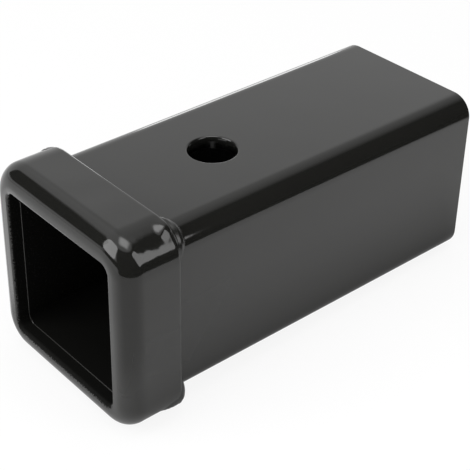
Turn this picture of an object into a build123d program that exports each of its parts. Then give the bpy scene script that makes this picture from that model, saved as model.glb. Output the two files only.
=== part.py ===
from build123d import *
import math
import os

# Driving sizes, in millimetres. Y runs along the tube, from the mouth towards the end that is
# welded on. Z points up, along the hitch pin. The origin is the middle of the mouth.

# Square steel tube that takes the shank
tube_width = 63.5
tube_wall = 4.76
tube_length = 152.4
tube_corner_radius = 7.8
tube_saw_edge = 0.5

# Hole for the hitch pin, through the top and bottom walls
pin_hole_diameter = 16.8
pin_hole_from_mouth = 63.5
pin_hole_edge = 0.6

# Collar, pressed from steel plate into a square cup with the mouth punched through its front
collar_plate = 4.65
collar_depth = 21.4
collar_bend_inside = 2.4
collar_rim_edge = 1.2
mouth_edge = 1.2
collar_clearance = 0.1

# Weld behind the collar's rim: a fillet along the sides, heaped over the rim at the corners
weld_leg = 4.0
weld_heap_height = 5.65
weld_heap_ahead = 4.1
weld_heap_behind = 4.5
weld_heap_nose = 3.0
weld_spread_run = 3.0
weld_side_bow = 1.15
weld_heap_bow = 2.0
weld_spread_steps = 2
weld_turn_steps = 6
weld_steps_behind = 5
weld_steps_ahead = 3

# Sizes that follow from those above
tube_inside = tube_width - 2 * tube_wall
tube_inside_radius = tube_corner_radius - tube_wall
tube_front = collar_plate
tube_rear = tube_front + tube_length
tube_front_edge = collar_bend_inside + collar_clearance
socket_width = tube_width + 2 * collar_clearance
socket_radius = tube_corner_radius + collar_clearance
collar_width = socket_width + 2 * collar_plate
collar_corner_radius = socket_radius + collar_plate
collar_front_edge = collar_bend_inside + collar_plate
tube_flat = tube_width / 2 - tube_corner_radius


def square_bar(width, corner_radius, start, end):
    """Solid square bar with rounded corners, lying along Y from start to end."""
    section = Plane(origin=(0, start, 0), x_dir=(1, 0, 0), z_dir=(0, 1, 0))
    return extrude(section * RectangleRounded(width, width, corner_radius), end - start)


def front_edges(solid):
    """Edges round the face that looks out of the mouth."""
    return solid.faces().sort_by(Axis.Y)[0].edges()


def rear_edges(solid):
    """Edges round the face that looks to the welded end."""
    return solid.faces().sort_by(Axis.Y)[-1].edges()


def make_receiver_tube():
    """Square tube with the pin hole, its front bevelled to clear the collar's inside bend."""
    outside = square_bar(tube_width, tube_corner_radius, tube_front, tube_rear)
    outside = chamfer(front_edges(outside), tube_front_edge)
    bore = square_bar(tube_inside, tube_inside_radius, tube_front, tube_rear)
    tube = outside - bore
    tube = chamfer(rear_edges(tube), tube_saw_edge)
    pin_hole = Pos(0, pin_hole_from_mouth, 0) * Cylinder(pin_hole_diameter / 2, 2 * tube_width)
    tube = tube - pin_hole
    flats = tube.faces().sort_by(Axis.Z)
    hole_edges = flats[0].inner_wires()[0].edges() + flats[-1].inner_wires()[0].edges()
    return chamfer(hole_edges, pin_hole_edge)


def make_reinforcing_collar():
    """Pressed cup of even thickness, with the mouth punched flush with the tube's inside."""
    cup = square_bar(collar_width, collar_corner_radius, 0, collar_depth)
    cup = fillet(front_edges(cup), collar_front_edge)
    socket = square_bar(socket_width, socket_radius, collar_plate, 2 * collar_depth)
    socket = fillet(front_edges(socket), collar_bend_inside)
    mouth = square_bar(tube_inside, tube_inside_radius, -collar_plate, 2 * collar_plate)
    cup = cup - socket - mouth
    lip = cup.faces().sort_by(Axis.Y)[0].inner_wires()[0].edges()
    cup = fillet(lip, mouth_edge)
    rim = cup.faces().sort_by(Axis.Y)[-1].outer_wire().edges()
    return chamfer(rim, collar_rim_edge)


def between(start, end, share):
    """Value that lies the given share of the way from start to end."""
    return start + share * (end - start)


def weld_section(along, turn, spread):
    """Cross-section of the weld at one place on the tube's outline.

    The place is given by its distance along the top side, and by the angle turned round the
    corner. Spread is how much the weld has widened there, from 0 on the sides to 1.
    """
    across = math.sin(math.radians(turn))
    up = math.cos(math.radians(turn))
    heap = math.sin(math.radians(2 * turn))
    surface = Vector(
        along + tube_corner_radius * across,
        0,
        tube_flat + tube_corner_radius * up,
    )
    crest_y = collar_depth - heap * (weld_heap_ahead - weld_heap_nose)
    height = between(weld_leg, weld_heap_height, heap)
    behind = between(weld_leg, weld_heap_behind, spread) + collar_depth - crest_y
    bow = 2 / between(weld_side_bow, weld_heap_bow, spread)
    points = []
    for step in range(weld_steps_behind):
        angle = math.pi / 2 * step / weld_steps_behind
        run = math.cos(angle)
        rise = math.sin(angle)
        points.append((crest_y + behind * run**bow, height * rise**bow))
    for step in range(weld_steps_ahead + 1):
        angle = math.pi / 2 * step / weld_steps_ahead
        run = math.sin(angle)
        rise = math.cos(angle)
        points.append((crest_y - heap * weld_heap_nose * run, height * rise))
    frame = Plane(origin=surface, x_dir=(0, 1, 0), z_dir=(up, 0, -across))
    return frame * make_face(Polyline(*points, close=True))


def make_weld_bead(collar):
    """Weld all round behind the collar: one eighth of the way round, mirrored to the rest."""
    spread_start = tube_flat - weld_spread_run
    sections = [weld_section(0, 0, 0), weld_section(spread_start, 0, 0)]
    for step in range(1, weld_spread_steps + 1):
        share = step / weld_spread_steps
        sections.append(weld_section(between(spread_start, tube_flat, share), 0, share))
    for step in range(1, weld_turn_steps + 1):
        sections.append(weld_section(tube_flat, 45 * step / weld_turn_steps, 1))
    eighth = loft(sections, ruled=True)
    quarter = eighth + mirror(eighth, Plane(origin=(0, 0, 0), z_dir=(1, 0, -1)))
    half = quarter + mirror(quarter, Plane.XY)
    ring = half + mirror(half, Plane.YZ)
    return ring - square_bar(tube_width, tube_corner_radius, 0, tube_rear) - collar


receiver_tube = make_receiver_tube()
reinforcing_collar = make_reinforcing_collar()
weld_bead = make_weld_bead(reinforcing_collar)

os.makedirs("parts", exist_ok=True)
export_step(receiver_tube, "parts/receiver_tube.step")
export_step(reinforcing_collar, "parts/reinforcing_collar.step")
export_step(weld_bead, "parts/weld_bead.step")
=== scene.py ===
import math

import bpy
from mathutils import Matrix, Quaternion, Vector


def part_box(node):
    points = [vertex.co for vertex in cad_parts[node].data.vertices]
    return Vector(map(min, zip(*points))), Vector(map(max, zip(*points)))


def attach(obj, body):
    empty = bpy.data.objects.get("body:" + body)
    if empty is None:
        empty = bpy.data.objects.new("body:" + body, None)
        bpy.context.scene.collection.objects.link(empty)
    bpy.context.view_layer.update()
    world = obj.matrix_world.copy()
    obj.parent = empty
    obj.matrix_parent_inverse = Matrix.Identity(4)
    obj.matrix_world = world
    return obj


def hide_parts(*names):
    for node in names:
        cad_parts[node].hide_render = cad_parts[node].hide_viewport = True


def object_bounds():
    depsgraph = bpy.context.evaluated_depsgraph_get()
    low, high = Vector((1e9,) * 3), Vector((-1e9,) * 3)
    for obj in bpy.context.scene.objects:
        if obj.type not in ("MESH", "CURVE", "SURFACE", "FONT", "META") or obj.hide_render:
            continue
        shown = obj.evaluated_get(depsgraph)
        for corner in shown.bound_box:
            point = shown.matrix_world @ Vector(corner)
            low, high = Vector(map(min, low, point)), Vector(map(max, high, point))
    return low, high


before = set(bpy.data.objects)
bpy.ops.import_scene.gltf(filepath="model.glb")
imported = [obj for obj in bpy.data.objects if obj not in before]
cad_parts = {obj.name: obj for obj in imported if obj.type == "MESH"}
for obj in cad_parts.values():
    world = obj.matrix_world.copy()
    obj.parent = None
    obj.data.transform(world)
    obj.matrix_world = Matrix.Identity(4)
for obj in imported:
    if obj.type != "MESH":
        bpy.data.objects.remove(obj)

cad_low, cad_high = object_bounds()
scene = bpy.context.scene
scene.view_settings.view_transform = "Standard"


# Camera
# It looks at the tube from where the photograph was taken, about half a metre away.
camera_place = Vector((0.28579, -0.17827, 0.25229))
camera_aim = Vector((-0.0108, 0.0684, 0.0111))
camera_roll = math.radians(0.267)
camera_data = bpy.data.cameras.new("photograph")
camera_data.sensor_width = 36
camera_data.lens = 100.33
camera_data.shift_x = 0.0686
camera_data.shift_y = -0.1091
camera_data.clip_start = 0.01
camera = bpy.data.objects.new("photograph", camera_data)
camera.location = camera_place
camera.rotation_mode = "QUATERNION"
look = (camera_aim - camera_place).to_track_quat("-Z", "Y")
camera.rotation_quaternion = look @ Quaternion((0, 0, 1), camera_roll)
scene.collection.objects.link(camera)
scene.camera = camera


# Floor
# A white sheet that the tube lies on. The collar stands proud of the tube, so the tube rests on the
# collar's rim and on its own rear end, and the floor leans by two degrees to meet both.
floor_size = 6.0
floor_white = (0.9, 0.9, 0.9, 1)
floor_glow_to_camera = 0.88
floor_glow_in_gloss = 0.54
collar_touches_at = 0.0202
rest_front = Vector((0, collar_touches_at, cad_low.z))
rest_rear = Vector((0, cad_high.y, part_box("receiver_tube")[0].z))
floor_lean = math.atan2(rest_rear.z - rest_front.z, rest_rear.y - rest_front.y)
floor_place = Matrix.Translation(rest_front) @ Matrix.Rotation(floor_lean, 4, "X")


def seen(nodes, links, to_camera, in_gloss, otherwise):
    """A value that depends on whether the camera sees a surface straight, mirrored or neither."""
    path = nodes.new("ShaderNodeLightPath")
    mirrored = nodes.new("ShaderNodeMath")
    mirrored.operation = "MAXIMUM"
    links.new(path.outputs["Is Glossy Ray"], mirrored.inputs[0])
    links.new(path.outputs["Is Transmission Ray"], mirrored.inputs[1])
    gloss = nodes.new("ShaderNodeMix")
    gloss.inputs["A"].default_value = otherwise
    gloss.inputs["B"].default_value = in_gloss
    links.new(mirrored.outputs[0], gloss.inputs["Factor"])
    straight = nodes.new("ShaderNodeMix")
    straight.inputs["B"].default_value = to_camera
    links.new(gloss.outputs["Result"], straight.inputs["A"])
    links.new(path.outputs["Is Camera Ray"], straight.inputs["Factor"])
    return straight.outputs["Result"]


floor_paint = bpy.data.materials.new("white sheet")
floor_paint.use_nodes = True
nodes = floor_paint.node_tree.nodes
links = floor_paint.node_tree.links
nodes.clear()
matt = nodes.new("ShaderNodeBsdfDiffuse")
matt.inputs["Color"].default_value = floor_white
glow = nodes.new("ShaderNodeEmission")
glow.inputs["Strength"].default_value = 1
mix = nodes.new("ShaderNodeMixShader")
links.new(seen(nodes, links, floor_glow_to_camera, floor_glow_in_gloss, 0), mix.inputs[0])
links.new(matt.outputs[0], mix.inputs[1])
links.new(glow.outputs[0], mix.inputs[2])
links.new(mix.outputs[0], nodes.new("ShaderNodeOutputMaterial").inputs["Surface"])

half = floor_size / 2
floor_mesh = bpy.data.meshes.new("floor")
floor_mesh.from_pydata([(-half, -half, 0), (half, -half, 0), (half, half, 0), (-half, half, 0)], [],
                       [(0, 1, 2, 3)])
floor_mesh.materials.append(floor_paint)
floor = bpy.data.objects.new("floor", floor_mesh)
floor.matrix_world = floor_place
scene.collection.objects.link(floor)


# Room
# A white studio. Its white is what the gloss paint mirrors on its flat sides.
room_light = 0.5
world = bpy.data.worlds.new("studio")
world.use_nodes = True
nodes = world.node_tree.nodes
links = world.node_tree.links
links.new(seen(nodes, links, 1, 1, room_light), nodes["Background"].inputs["Strength"])
nodes["Background"].inputs["Color"].default_value = (1, 1, 1, 1)
scene.world = world


# Lamps
# Five lamps, each placed by its direction from the collar's near corner: azimuth is turned from +Y
# towards +X and elevation is above the horizon, both in degrees.
corner = Vector((0.03, 0.012, 0.03))


def seen_from_corner(azimuth, elevation, distance):
    """The point in that direction from the collar's near corner."""
    turn = math.radians(azimuth)
    rise = math.radians(elevation)
    way = Vector((math.sin(turn) * math.cos(rise), math.cos(turn) * math.cos(rise), math.sin(rise)))
    return corner + way * distance


def soft_lamp(name, azimuth, elevation, wide, high, brightness, distance=1.0, lean=0, soft=0.15):
    """A lamp that faces the corner, with its size in degrees and its brightness against white.

    It is a rectangle with rounded corners, turned by lean. Soft is how far in from its edge it fades.
    """
    lamp = bpy.data.lights.new(name, "AREA")
    lamp.shape = "RECTANGLE"
    lamp.size = 2 * distance * math.tan(math.radians(wide / 2))
    lamp.size_y = 2 * distance * math.tan(math.radians(high / 2))
    lamp.energy = brightness * math.pi * lamp.size * lamp.size_y

    lamp.use_nodes = True
    nodes = lamp.node_tree.nodes
    links = lamp.node_tree.links
    # From the lamp's middle, its surface runs from -1 to 1 both ways
    from_middle = nodes.new("ShaderNodeVectorMath")
    from_middle.operation = "MULTIPLY_ADD"
    from_middle.inputs[1].default_value = (2, 2, 0)
    from_middle.inputs[2].default_value = (-1, -1, 0)
    links.new(nodes.new("ShaderNodeNewGeometry").outputs["Parametric"], from_middle.inputs[0])
    squared = nodes.new("ShaderNodeVectorMath")
    squared.operation = "MULTIPLY"
    links.new(from_middle.outputs[0], squared.inputs[0])
    links.new(from_middle.outputs[0], squared.inputs[1])
    rounded = nodes.new("ShaderNodeVectorMath")
    rounded.operation = "LENGTH"
    links.new(squared.outputs[0], rounded.inputs[0])
    fade = nodes.new("ShaderNodeMapRange")
    fade.interpolation_type = "SMOOTHSTEP"
    fade.inputs["From Min"].default_value = 1
    fade.inputs["From Max"].default_value = (1 - soft) ** 2
    links.new(rounded.outputs["Value"], fade.inputs["Value"])
    links.new(fade.outputs[0], nodes["Emission"].inputs["Strength"])

    holder = bpy.data.objects.new(name, lamp)
    holder.location = seen_from_corner(azimuth, elevation, distance)
    holder.rotation_mode = "QUATERNION"
    facing = (corner - holder.location).to_track_quat("-Z", "Y")
    holder.rotation_quaternion = facing @ Quaternion((0, 0, 1), math.radians(lean))
    holder.visible_camera = False
    scene.collection.objects.link(holder)


# The first three light the patches on the near corner. The low ones draw the fine line along the
# tube's far top edge, and light the left side of the mouth's lip.
soft_lamp("front left lamp", -158.5, 33, 44, 50, 3.6, lean=8, soft=0.06)
soft_lamp("strip lamp", 69, 30, 26, 42, 3.1, distance=0.3, lean=12, soft=0.06)
soft_lamp("overhead lamp", 60, 86, 46, 42, 3.5, soft=0.7)
soft_lamp("low back lamp", -52, 3, 14, 16, 2.3)
soft_lamp("low front lamp", -108, -27, 9, 28, 0.8, distance=0.1, soft=0.5)


# Black cards
# Five curved sheets of black card and a dark mat, which give the gloss paint its dark bands. They
# only show in reflections, and fade out at their edges. The front card and the mat lie flat on the
# floor as painted shade: they darken the floor that the paint mirrors in front of the tube and round
# its foot.
card_black = (0.002, 0.002, 0.002, 1)
card_step = 3
black_card = bpy.data.materials.new("black card")
black_card.use_nodes = True
nodes = black_card.node_tree.nodes
links = black_card.node_tree.links
nodes.clear()
fade = nodes.new("ShaderNodeAttribute")
fade.attribute_name = "fade"
clear = nodes.new("ShaderNodeBsdfTransparent")
black = nodes.new("ShaderNodeBsdfDiffuse")
black.inputs["Color"].default_value = card_black
mix = nodes.new("ShaderNodeMixShader")
links.new(fade.outputs["Fac"], mix.inputs[0])
links.new(clear.outputs[0], mix.inputs[1])
links.new(black.outputs[0], mix.inputs[2])
links.new(mix.outputs[0], nodes.new("ShaderNodeOutputMaterial").inputs["Surface"])


def card(name, points, faces, fades, place):
    """A sheet of black card with a fade at each point."""
    mesh = bpy.data.meshes.new(name)
    mesh.from_pydata(points, [], faces)
    mesh.attributes.new("fade", "FLOAT", "POINT").data.foreach_set("value", fades)
    mesh.materials.append(black_card)
    sheet = bpy.data.objects.new(name, mesh)
    sheet.matrix_world = place
    sheet.visible_camera = False
    sheet.visible_diffuse = False
    sheet.visible_shadow = False
    scene.collection.objects.link(sheet)


def curved_card(name, azimuths, profile):
    """A card bent round the corner. Azimuths and profile give the fade at each of their places.

    A place of the profile is its level distance from the corner, and its height above the floor.
    """
    columns = []
    for (first, first_fade), (last, last_fade) in zip(azimuths, azimuths[1:]):
        steps = math.ceil((last - first) / card_step)
        for step in range(steps):
            share = step / steps
            azimuth = first + share * (last - first)
            columns.append((azimuth, first_fade + share * (last_fade - first_fade)))
    columns.append(azimuths[-1])
    points = []
    fades = []
    for azimuth, side_fade in columns:
        turn = math.radians(azimuth)
        for (away, height), own_fade in profile:
            points.append((corner.x + away * math.sin(turn), corner.y + away * math.cos(turn), height))
            fades.append(side_fade * own_fade)
    rows = len(profile)
    faces = []
    for column in range(len(columns) - 1):
        for row in range(rows - 1):
            low = column * rows + row
            faces.append((low, low + 1, low + rows + 1, low + rows))
    card(name, points, faces, fades, floor_place @ Matrix.Translation((0, -rest_front.y, 0)))


def height_at(away, elevation):
    """Height above the floor of a point seen at that elevation from the corner."""
    return away * math.tan(math.radians(elevation)) + corner.z - rest_front.z


curved_card("right card", [(-30, 0), (-6, 0.25), (4, 0.5), (17, 1), (170, 1), (176, 0)], [
    ((0.24, 0.004), 0),
    ((0.30, 0.004), 1),
    ((1.30, 0.050), 1),
    ((1.30, height_at(1.30, 55)), 1),
    ((1.30, height_at(1.30, 60)), 0),
])
curved_card("back card", [(-75, 0), (-60, 0.25), (10, 0.25), (20, 0)], [
    ((1.25, height_at(1.25, 30)), 0),
    ((1.25, height_at(1.25, 38)), 1),
    ((1.25, height_at(1.25, 58)), 1),
    ((1.25, height_at(1.25, 66)), 0),
])
curved_card("left card", [(-142, 0), (-139, 1), (-107, 1), (-103, 0)], [
    ((1.20, height_at(1.20, 4)), 0),
    ((1.20, height_at(1.20, 8)), 1),
    ((1.20, height_at(1.20, 39)), 1),
    ((1.20, height_at(1.20, 44)), 0),
])
curved_card("low card", [(-190, 1), (-150, 1), (-136, 0)], [
    ((1.20, height_at(1.20, -3)), 0),
    ((1.20, height_at(1.20, -1)), 1),
    ((1.20, height_at(1.20, 10)), 1),
    ((1.20, height_at(1.20, 14)), 0),
])
# The front card is painted shade: a grey sheet flat on the floor in front of the tube, where the floor
# lies in shade, seen only in reflections
curved_card("front shade card", [(30, 0), (60, 0.1), (100, 0.27), (165, 0.3), (205, 0)], [
    ((0.03, 0.002), 0),
    ((0.05, 0.002), 1),
    ((0.24, 0.003), 1),
    ((0.30, 0.003), 0),
])

# The mat is a painted shadow: a dark sheet on the floor under the tube, a little to its near side,
# that darkens the floor round the tube's foot in the paint's reflections. Each of its rings is given
# by how far it lies beyond the tube, and by its fade.
contact_shadow_place = (0.006, 0.008)
contact_shadow_lift = 0.0003
contact_shadow_rings = [(-0.008, 0.6), (-0.002, 0.42), (0.004, 0.28), (0.016, 0.1), (0.03, 0)]
points = []
fades = []
faces = [(0, 1, 2, 3)]
for ring, (beyond, fade) in enumerate(contact_shadow_rings):
    side = cad_high.x + beyond
    points += [(-side, -beyond, 0), (side, -beyond, 0), (side, cad_high.y + beyond, 0),
               (-side, cad_high.y + beyond, 0)]
    fades += [fade] * 4
    for place in range(4 if ring else 0):
        low = ring * 4 + place
        after = ring * 4 + (place + 1) % 4
        faces.append((low, after, after - 4, low - 4))
lift = Matrix.Translation((contact_shadow_place[0], contact_shadow_place[1] - rest_front.y, contact_shadow_lift))
card("mat", points, faces, fades, floor_place @ lift)


# Receiver tube
# A length of welded square steel tube, sawn at both ends and drilled through the top and bottom walls
# for the hitch pin. The whole receiver was painted gloss black after the collar was welded on.
tube_low, tube_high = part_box("receiver_tube")
tube_wall = 0.00476
tube_corner = 0.0078
tube_core = tube_high.x - tube_corner
tube_front_bevel = 0.0025
tube_front_edge = 0.00025
tube_saw_edge = 0.0005
outline_step = 0.0006
edge_steps = 6
sharp_angle = math.radians(40)
pin_hole_radius = 0.0084
pin_hole_edge = 0.0007
pin_hole_place = 0.0635
pin_hole_facets = 96

# The paint's colour and finish. The scale of each pattern is its number of patches to the metre.
paint_black = (0.0108, 0.0108, 0.0098, 1)
paint_ior = 1.5
paint_shine = 0.5
smear_roughness = 0.08
smear_scale = 55
wave_scale = 35
peel_scale = 420

# Painted shade inside the mouth, a darker and less shiny colour than the paint's, and where it ends round
# the lip. The lighter grey line along the joint is a painted highlight.
shaded_inside_colour = (0.0055, 0.0055, 0.005, 1)
shaded_inside_shine = 0.04
inside_dullness = 0.5
joint_highlight_grey = (0.042, 0.042, 0.039, 1)
joint_highlight_half_width = 0.0002
inside_shade_inset = 0.0002
inside_shade_fade = 0.0002
inside_shade_edge = tube_corner - tube_wall + inside_shade_inset
inside_shade_lower = 0.0013
inside_shade_ragged = 0.0018
inside_shade_ragged_below = 0.0040
ragged_scale = 1800


class NodeTree:
    """Short ways to add nodes to a tree, for the paint and for the shapes."""

    def node(self, kind, *values, **settings):
        """A node with its settings, and its inputs in order set or linked."""
        node = self.tree.nodes.new(kind)
        for key, value in settings.items():
            setattr(node, key, value)
        for socket, value in zip(node.inputs, values):
            self.give(socket, value)
        return node

    def give(self, socket, value):
        """Sets an input to a value, or links it to the output that the value comes from."""
        if isinstance(value, bpy.types.NodeSocket):
            self.tree.links.new(value, socket)
        else:
            socket.default_value = value

    def math(self, operation, *values):
        """Result of a Math node."""
        return self.node("ShaderNodeMath", *values, operation=operation).outputs[0]

    def vector(self, operation, *values):
        """Result of a Vector Math node."""
        return self.node("ShaderNodeVectorMath", *values, operation=operation).outputs[0]

    def vector_value(self, operation, *values):
        """Result of a Vector Math node that gives one number."""
        return self.node("ShaderNodeVectorMath", *values, operation=operation).outputs["Value"]

    def split(self, vector):
        """The three parts of a vector."""
        return self.node("ShaderNodeSeparateXYZ", vector).outputs

    def join(self, *parts):
        """A vector from its three parts."""
        return self.node("ShaderNodeCombineXYZ", *parts).outputs[0]

    def between(self, start, end, share):
        """The value that lies the given share of the way from start to end."""
        step = self.math("MULTIPLY", self.math("SUBTRACT", end, start), share)
        return self.math("ADD", start, step)

    def noise(self, place, scale, detail):
        """A soft random pattern, from 0 to 1, with finer and finer layers up to the detail."""
        return self.node("ShaderNodeTexNoise", place, 0, scale, detail).outputs[0]


class BlackPaint(NodeTree):
    """Gloss black paint with a faint orange peel over slightly wavy steel.

    The heights of the peel and of the waves are in metres.
    """

    def __init__(self, name, peel_height, wave_height, roughness):
        self.material = bpy.data.materials.new(name)
        self.material.use_nodes = True
        self.tree = self.material.node_tree
        self.shader = self.tree.nodes["Principled BSDF"].inputs
        self.shader["Base Color"].default_value = paint_black
        self.shader["IOR"].default_value = paint_ior
        self.place = self.node("ShaderNodeTexCoord").outputs["Object"]
        smears = self.noise(self.place, smear_scale, detail=4)
        self.roughness = self.math("ADD", self.math("MULTIPLY", smears, smear_roughness), roughness)
        self.give(self.shader["Roughness"], self.roughness)
        steel = self.raised(wave_scale, wave_height)
        paint = self.raised(peel_scale, peel_height)
        self.give(paint.inputs["Normal"], steel.outputs["Normal"])
        self.give(self.shader["Normal"], paint.outputs["Normal"])

    def raised(self, scale, height):
        """A bump for each high place of a soft random pattern."""
        bump = self.node("ShaderNodeBump")
        bump.inputs["Distance"].default_value = height
        self.give(bump.inputs["Height"], self.noise(self.place, scale, detail=1))
        return bump

    def mix(self, first, second, share):
        """Mix of two colours."""
        node = self.node("ShaderNodeMix", data_type="RGBA")
        self.give(node.inputs["Factor"], share)
        self.give(node.inputs["A"], first)
        self.give(node.inputs["B"], second)
        return node.outputs["Result"]

    def shade_inside_of_mouth(self):
        """Painted shade inside the mouth: a darker colour and a weaker shine than the paint's, and a
        rougher finish.

        The painted shade ends round the lip in a ragged edge, which is rougher and lies lower at the
        bottom. A thin lighter grey line along the joint between the collar and the tube is a painted
        highlight.
        """
        across, along, up = self.split(self.place)
        below = self.math("LESS_THAN", up, -tube_core)
        across = self.math("SUBTRACT", self.math("ABSOLUTE", across), tube_core)
        down = self.math("SUBTRACT", self.math("MULTIPLY", up, -1), inside_shade_lower)
        up = self.math("SUBTRACT", self.math("MAXIMUM", up, down), tube_core)
        across = self.math("POWER", self.math("MAXIMUM", across, 0), 2)
        up = self.math("POWER", self.math("MAXIMUM", up, 0), 2)
        beyond_core = self.math("SQRT", self.math("ADD", across, up))
        ragged = self.math("SUBTRACT", self.noise(self.place, ragged_scale, detail=3), 0.5)
        most = self.between(inside_shade_ragged, inside_shade_ragged_below, below)
        reach = self.math("SUBTRACT", beyond_core, self.math("MULTIPLY", ragged, most))
        mouth = self.node("ShaderNodeMapRange", reach, inside_shade_edge + inside_shade_fade, inside_shade_edge)
        inside = mouth.outputs[0]
        from_joint = self.math("ABSOLUTE", self.math("SUBTRACT", along, tube_low.y))
        # The joint line is a painted highlight: lighter grey, with the paint's full shine
        joint = self.math("MULTIPLY", self.math("LESS_THAN", from_joint, joint_highlight_half_width), inside)
        shaded_inside = self.math("SUBTRACT", inside, joint)
        # Painted shade inside the mouth: darker colour and weaker shine than the paint's
        colour = self.mix(self.mix(paint_black, shaded_inside_colour, shaded_inside), joint_highlight_grey, joint)
        self.give(self.shader["Base Color"], colour)
        self.give(self.shader["Specular IOR Level"], self.between(paint_shine, shaded_inside_shine, shaded_inside))
        dull = self.math("MULTIPLY", shaded_inside, inside_dullness)
        self.give(self.shader["Roughness"], self.math("ADD", self.roughness, dull))


def arc(out, along, radius, first, last, steps=edge_steps):
    """Points of a rounded edge. Angles run from outwards, at 0 degrees, to backwards, at 90."""
    points = []
    for step in range(steps + 1):
        angle = math.radians(first + (last - first) * step / steps)
        points.append((out + radius * math.cos(angle), along + radius * math.sin(angle)))
    return points


def section_curve(name, points):
    """A closed curve through the points of a section: X outwards from the tube, Y along it."""
    curve = bpy.data.curves.new(name, "CURVE")
    spline = curve.splines.new("POLY")
    spline.points.add(len(points) - 1)
    for point, (out, along) in zip(spline.points, points):
        point.co = (out, along, 0, 1)
    spline.use_cyclic_u = True
    piece = bpy.data.objects.new(name, curve)
    scene.collection.objects.link(piece)
    return piece


class SweepRoundTube(NodeTree):
    """A Geometry Nodes tree that sweeps a section round the tube's square outline.

    Each point has its core, the nearest point of the square between the centres of the rounded
    corners, and its way, the direction outwards from there. Out and along are its place in the
    section, and a piece can change them before it is made. Corner turn runs from 0 on the flats to
    1 in the middle of a corner.
    """

    def __init__(self, name, inputs):
        self.tree = bpy.data.node_groups.new(name, "GeometryNodeTree")
        sockets = self.tree.interface
        sockets.new_socket("Section", in_out="INPUT", socket_type="NodeSocketGeometry")
        for title in ["Outline Half", "Corner Radius", "Step", *inputs]:
            sockets.new_socket(title, in_out="INPUT", socket_type="NodeSocketFloat")
        sockets.new_socket("Paint", in_out="INPUT", socket_type="NodeSocketMaterial")
        sockets.new_socket("Piece", in_out="OUTPUT", socket_type="NodeSocketGeometry")
        self.given = self.tree.nodes.new("NodeGroupInput").outputs

        width = self.math("MULTIPLY", self.given["Outline Half"], 2)
        square = self.node("GeometryNodeCurvePrimitiveQuadrilateral", width, width)
        path = self.node("GeometryNodeResampleCurve", square.outputs[0], mode="LENGTH")
        self.give(path.inputs["Length"], self.given["Step"])
        path, on_path = self.capture(path.outputs[0])
        section, in_section = self.capture(self.given["Section"])
        path = self.node("GeometryNodeSetCurveNormal", path, mode="Z_UP").outputs[0]
        self.swept = self.node("GeometryNodeCurveToMesh", path, section).outputs[0]

        flat = self.math("SUBTRACT", self.given["Outline Half"], self.given["Corner Radius"])
        far = self.join(flat, flat, flat)
        near = self.vector("MULTIPLY", far, (-1, -1, -1))
        self.core = self.vector("MAXIMUM", self.vector("MINIMUM", on_path, far), near)
        self.way = self.vector("NORMALIZE", self.vector("SUBTRACT", on_path, self.core))
        across, up, unused = self.split(self.vector("ABSOLUTE", self.way))
        self.corner_turn = self.math("MULTIPLY", self.math("MULTIPLY", across, up), 2)
        self.out, self.along, unused = self.split(in_section)

    def capture(self, curve):
        """The curve, and where each of its points was."""
        node = self.node("GeometryNodeCaptureAttribute", curve)
        node.capture_items.new("VECTOR", "place")
        self.give(node.inputs["place"], self.node("GeometryNodeInputPosition").outputs[0])
        return node.outputs[0], node.outputs["place"]

    def across_and_up(self):
        """Where each point lies across the tube and up."""
        radius = self.math("ADD", self.given["Corner Radius"], self.out)
        outwards = self.vector("MULTIPLY", self.way, self.join(radius, radius, radius))
        across, up, unused = self.split(self.vector("ADD", self.core, outwards))
        return across, up

    def make(self, section, name, **values):
        """The piece that the sweep makes from a section, as a plain mesh."""
        across, up = self.across_and_up()
        placed = self.node("GeometryNodeSetPosition", self.swept)
        self.give(placed.inputs["Position"], self.join(across, self.along, up))
        smooth = self.node("GeometryNodeSetShadeSmooth", placed.outputs[0]).outputs[0]
        plain = self.node("GeometryNodeRealizeInstances", smooth).outputs[0]
        painted = self.node("GeometryNodeSetMaterial", plain)
        self.give(painted.inputs["Material"], self.given["Paint"])
        result = self.tree.nodes.new("NodeGroupOutput")
        self.tree.links.new(painted.outputs[0], result.inputs[0])

        round_tube = section.modifiers.new("round the tube", "NODES")
        round_tube.node_group = self.tree
        for socket in self.tree.interface.items_tree:
            key = socket.name.replace(" ", "_").lower()
            if key in values:
                round_tube[socket.identifier] = values[key]
        ready = section.evaluated_get(bpy.context.evaluated_depsgraph_get())
        mesh = bpy.data.meshes.new_from_object(ready)
        mesh.name = name
        section.modifiers.remove(round_tube)
        bpy.data.objects.remove(section)
        piece = bpy.data.objects.new(name, mesh)
        scene.collection.objects.link(piece)
        return piece


def finish_edges(piece):
    """Shades the piece smooth but for its sharp edges, with the flats kept flat, as a plain mesh."""
    piece.data.set_sharp_from_angle(angle=sharp_angle)
    flats = piece.modifiers.new("flats", "WEIGHTED_NORMAL")
    flats.keep_sharp = True
    ready = piece.evaluated_get(bpy.context.evaluated_depsgraph_get())
    mesh = bpy.data.meshes.new_from_object(ready)
    piece.modifiers.clear()
    piece.data = mesh


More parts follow.
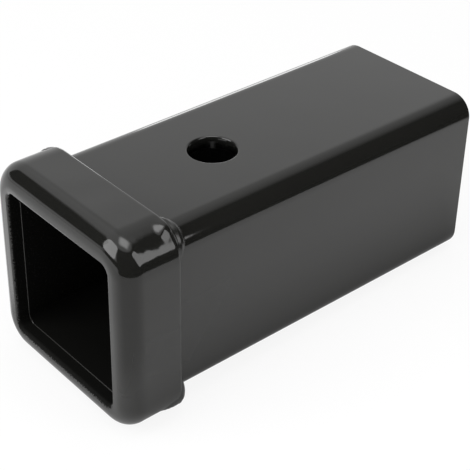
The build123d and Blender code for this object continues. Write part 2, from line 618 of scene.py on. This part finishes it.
def pin_hole_cutter():
    """A round bar along Z that cuts both pin holes, flared to round their outer edges.

    It is turned by half a facet, so that none of its corners meets an edge of the tube's mesh.
    """
    profile = [(pin_hole_radius, 0)]
    for step in range(edge_steps + 1):
        angle = math.radians(90 * step / edge_steps)
        profile.append((
            pin_hole_radius + pin_hole_edge * (1 - math.cos(angle)),
            tube_high.z - pin_hole_edge * (1 - math.sin(angle)),
        ))
    profile.append((pin_hole_radius + pin_hole_edge, 2 * tube_high.z))
    rings = [(radius, -height) for radius, height in reversed(profile[1:])] + profile
    points = []
    for radius, height in rings:
        for facet in range(pin_hole_facets):
            turn = math.tau * (facet + 0.5) / pin_hole_facets
            points.append((radius * math.cos(turn), pin_hole_place + radius * math.sin(turn), height))
    faces = [tuple(reversed(range(pin_hole_facets)))]
    for ring in range(len(rings) - 1):
        low = ring * pin_hole_facets
        high = low + pin_hole_facets
        for facet in range(pin_hole_facets):
            after = (facet + 1) % pin_hole_facets
            faces.append((low + facet, low + after, high + after, high + facet))
    faces.append(tuple(range(len(points) - pin_hole_facets, len(points))))
    mesh = bpy.data.meshes.new("pin hole")
    mesh.from_pydata(points, [], faces)
    mesh.shade_smooth()
    cutter = bpy.data.objects.new("pin hole", mesh)
    scene.collection.objects.link(cutter)
    return cutter


tube_paint = BlackPaint("paint on the tube", peel_height=0.000006, wave_height=0.0001, roughness=0.04)
# Painted shade inside the tube's mouth
tube_paint.shade_inside_of_mouth()
tube_section = section_curve("tube section", [
    (-tube_front_bevel, tube_low.y),
    (0, tube_low.y + tube_front_bevel),
    *arc(-tube_saw_edge, tube_high.y - tube_saw_edge, tube_saw_edge, 0, 90),
    *arc(-tube_wall + tube_saw_edge, tube_high.y - tube_saw_edge, tube_saw_edge, 90, 180),
    *arc(-tube_wall + tube_front_edge, tube_low.y + tube_front_edge, tube_front_edge, 180, 270),
])
receiver_tube = SweepRoundTube("square tube", []).make(
    tube_section, "square_tube", outline_half=tube_high.x, corner_radius=tube_corner,
    step=outline_step, paint=tube_paint.material)
cutter = pin_hole_cutter()
holes = receiver_tube.modifiers.new("pin holes", "BOOLEAN")
holes.object = cutter
finish_edges(receiver_tube)
bpy.data.objects.remove(cutter)
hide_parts("receiver_tube")
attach(receiver_tube, "root")


# Reinforcing collar
# A square cup pressed from steel plate, with its front rolled over and the mouth punched through it.
# It slips over the front of the tube and is welded on. The press left its corners slightly uneven,
# and its rim is drawn up where the weld is heaped on the corner nearest the camera.
collar_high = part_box("reinforcing_collar")[1]
collar_plate = 0.00465
collar_slack = 0.0001
collar_out = collar_high.x - tube_high.x
collar_bend = 0.0024
collar_front_roll = collar_bend + collar_plate
collar_lip_edge = 0.0012
collar_rim_edge = 0.0012
collar_back_edge = 0.00025
collar_steps = 24
uneven_height = 0.00030
uneven_size = 120.0
uneven_stretch = 0.006
uneven_detail = 2
flare_turn = math.radians(29)
flare_radius = tube_corner + collar_out
flare_start = 0.0160
flare_full = 0.0193
flare_height = 0.0008
flare_reach = 0.0018

collar_paint = BlackPaint(
    "paint on the collar", peel_height=0.000006, wave_height=0.0004, roughness=0.04)
# Painted shade inside the collar's mouth
collar_paint.shade_inside_of_mouth()
side_start = collar_front_roll
side_length = collar_high.y - collar_rim_edge - side_start
collar_section = section_curve("collar section", [
    *arc(-tube_wall + collar_back_edge, collar_plate - collar_back_edge, collar_back_edge, 90, 180),
    *arc(-tube_wall + collar_lip_edge, collar_lip_edge, collar_lip_edge, 180, 270),
    *arc(collar_out - collar_front_roll, collar_front_roll, collar_front_roll, -90, 0, collar_steps),
    *[(collar_out, side_start + side_length * step / collar_steps) for step in range(1, collar_steps)],
    *arc(collar_out - collar_rim_edge, collar_high.y - collar_rim_edge, collar_rim_edge, 0, 90),
    (collar_slack, collar_high.y),
    *arc(collar_slack - collar_bend, collar_plate + collar_bend, collar_bend, 0, -90),
])
sweep = SweepRoundTube("pressed collar", [
    "Uneven Height", "Uneven Size", "Uneven Stretch", "Flare Across", "Flare Up", "Flare Start",
    "Flare Full", "Flare Height", "Flare Reach",
])
given = sweep.given

# Uneven corners: a soft pattern that is long across the tube and short along it
across, up, unused = sweep.split(sweep.vector("ADD", sweep.core, sweep.way))
across = sweep.math("MULTIPLY", across, given["Uneven Stretch"])
up = sweep.math("MULTIPLY", up, given["Uneven Stretch"])
pattern = sweep.noise(sweep.join(across, sweep.along, up), given["Uneven Size"], uneven_detail)
uneven = sweep.math("MULTIPLY", sweep.math("SUBTRACT", pattern, 0.5), given["Uneven Height"])
uneven = sweep.math("MULTIPLY", uneven, sweep.corner_turn)

# The flare: a bell shape round the corner, which rises along the tube towards the rim
across, up = sweep.across_and_up()
across = sweep.math("DIVIDE", sweep.math("SUBTRACT", across, given["Flare Across"]), given["Flare Reach"])
up = sweep.math("DIVIDE", sweep.math("SUBTRACT", up, given["Flare Up"]), given["Flare Reach"])
from_flare = sweep.join(across, up, 0)
bell = sweep.math("MULTIPLY", sweep.vector_value("DOT_PRODUCT", from_flare, from_flare), -0.5)
bell = sweep.math("EXPONENT", bell)
rise = sweep.node(
    "ShaderNodeMapRange", sweep.along, given["Flare Start"], given["Flare Full"],
    interpolation_type="SMOOTHSTEP").outputs[0]
flare = sweep.math("MULTIPLY", sweep.math("MULTIPLY", bell, rise), given["Flare Height"])
sweep.out = sweep.math("ADD", sweep.math("ADD", sweep.out, uneven), flare)
reinforcing_collar = sweep.make(
    collar_section, "pressed_collar", outline_half=tube_high.x, corner_radius=tube_corner,
    step=outline_step, uneven_height=uneven_height, uneven_size=uneven_size,
    uneven_stretch=uneven_stretch, flare_across=tube_core + flare_radius * math.sin(flare_turn),
    flare_up=tube_core + flare_radius * math.cos(flare_turn), flare_start=flare_start,
    flare_full=flare_full, flare_height=flare_height, flare_reach=flare_reach,
    paint=collar_paint.material)
finish_edges(reinforcing_collar)
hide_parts("reinforcing_collar")
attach(reinforcing_collar, "root")


# Weld bead
# Arc weld laid all round behind the collar's rim: a small fillet along the sides, and heavier passes
# heaped over the rim at the corners. The near, the far and the low heaps differ, as hand welding
# leaves them. The paint has run smooth over it.
weld_leg = 0.0029
weld_side_bow = 1.75
weld_nose_bow = 0.5
weld_low_bow = 0.9
weld_heap_height = 0.00525
weld_low_height = 0.0055
weld_heap_build = 0.8
weld_far_build = 1.0
weld_heap_place = 0.0009
weld_far_place = -0.0018
weld_low_place = 0.0
weld_heap_nose = 0.0032
weld_low_nose = 0.0110
weld_heap_behind = 0.0045
weld_far_behind = 0.0018
weld_low_behind = 0.0042
weld_pass_ridge = 0.00006
weld_pass_step = 0.0013
weld_steps = 48

weld_paint = BlackPaint("paint on the weld", peel_height=0.000015, wave_height=0.00002, roughness=0.18)
points = []
for step in range(weld_steps + 1):
    angle = math.radians(180 * step / weld_steps)
    points.append((math.sin(angle), -math.cos(angle)))
weld_section = section_curve("weld section", points)
sweep = SweepRoundTube("weld bead", [
    "Leg", "Side Bow", "Nose Bow", "Low Bow", "Rim", "Heap Height", "Low Height", "Heap Build",
    "Far Build", "Heap Place", "Far Place", "Low Place", "Heap Nose", "Low Nose", "Heap Behind",
    "Far Behind", "Low Behind", "Pass Ridge", "Pass Step",
])
given = sweep.given
across, up, unused = sweep.split(sweep.core)
far = sweep.math("LESS_THAN", across, 0)
low = sweep.math("LESS_THAN", up, 0)


def at_corner(near_value, far_value, low_value):
    """The value that holds at a point's own corner."""
    return sweep.between(sweep.between(given[near_value], given[far_value], far), given[low_value], low)


# How much of a heap there is at each place, from 0 on the flats to 1, and the weld's sizes there
build = sweep.between(given["Heap Build"], given["Far Build"], far)
heap = sweep.math("POWER", sweep.corner_turn, build)
place = at_corner("Heap Place", "Far Place", "Low Place")
crest = sweep.math("ADD", given["Rim"], sweep.math("MULTIPLY", heap, place))
height = sweep.between(given["Heap Height"], given["Low Height"], low)
height = sweep.between(given["Leg"], height, heap)
rear = at_corner("Heap Behind", "Far Behind", "Low Behind")
rear = sweep.math("ADD", sweep.between(given["Leg"], rear, heap), given["Rim"])
behind = sweep.math("SUBTRACT", rear, crest)
nose = sweep.math("MULTIPLY", sweep.between(given["Heap Nose"], given["Low Nose"], low), heap)

# The section is a half circle: its front half becomes the nose and its rear half what lies behind
in_nose = sweep.math("LESS_THAN", sweep.along, 0)
reach = sweep.between(behind, sweep.math("MULTIPLY", nose, -1), in_nose)
nose_bow = sweep.between(given["Nose Bow"], given["Low Bow"], low)
bow = sweep.between(sweep.between(given["Side Bow"], 1, heap), nose_bow, in_nose)
share = sweep.math("POWER", sweep.math("ABSOLUTE", sweep.along), bow)
rise = sweep.math("POWER", sweep.out, bow)
sweep.along = sweep.math("ADD", crest, sweep.math("MULTIPLY", reach, share))

# Fine ridges that the passes left along the heaps
turns = sweep.math("MULTIPLY", sweep.math("DIVIDE", sweep.along, given["Pass Step"]), math.tau)
ridge = sweep.math("MULTIPLY", sweep.math("COSINE", turns), given["Pass Ridge"])
ridge = sweep.math("MULTIPLY", sweep.math("MULTIPLY", ridge, heap), sweep.out)
sweep.out = sweep.math("ADD", sweep.math("MULTIPLY", height, rise), ridge)
weld_bead = sweep.make(
    weld_section, "weld_all_round", outline_half=tube_high.x, corner_radius=tube_corner,
    step=outline_step, leg=weld_leg, side_bow=weld_side_bow, nose_bow=weld_nose_bow,
    low_bow=weld_low_bow, rim=collar_high.y, heap_height=weld_heap_height,
    low_height=weld_low_height, heap_build=weld_heap_build, far_build=weld_far_build,
    heap_place=weld_heap_place, far_place=weld_far_place, low_place=weld_low_place,
    heap_nose=weld_heap_nose, low_nose=weld_low_nose, heap_behind=weld_heap_behind,
    far_behind=weld_far_behind, low_behind=weld_low_behind, pass_ridge=weld_pass_ridge,
    pass_step=weld_pass_step, paint=weld_paint.material)
finish_edges(weld_bead)
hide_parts("weld_bead")
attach(weld_bead, "root")
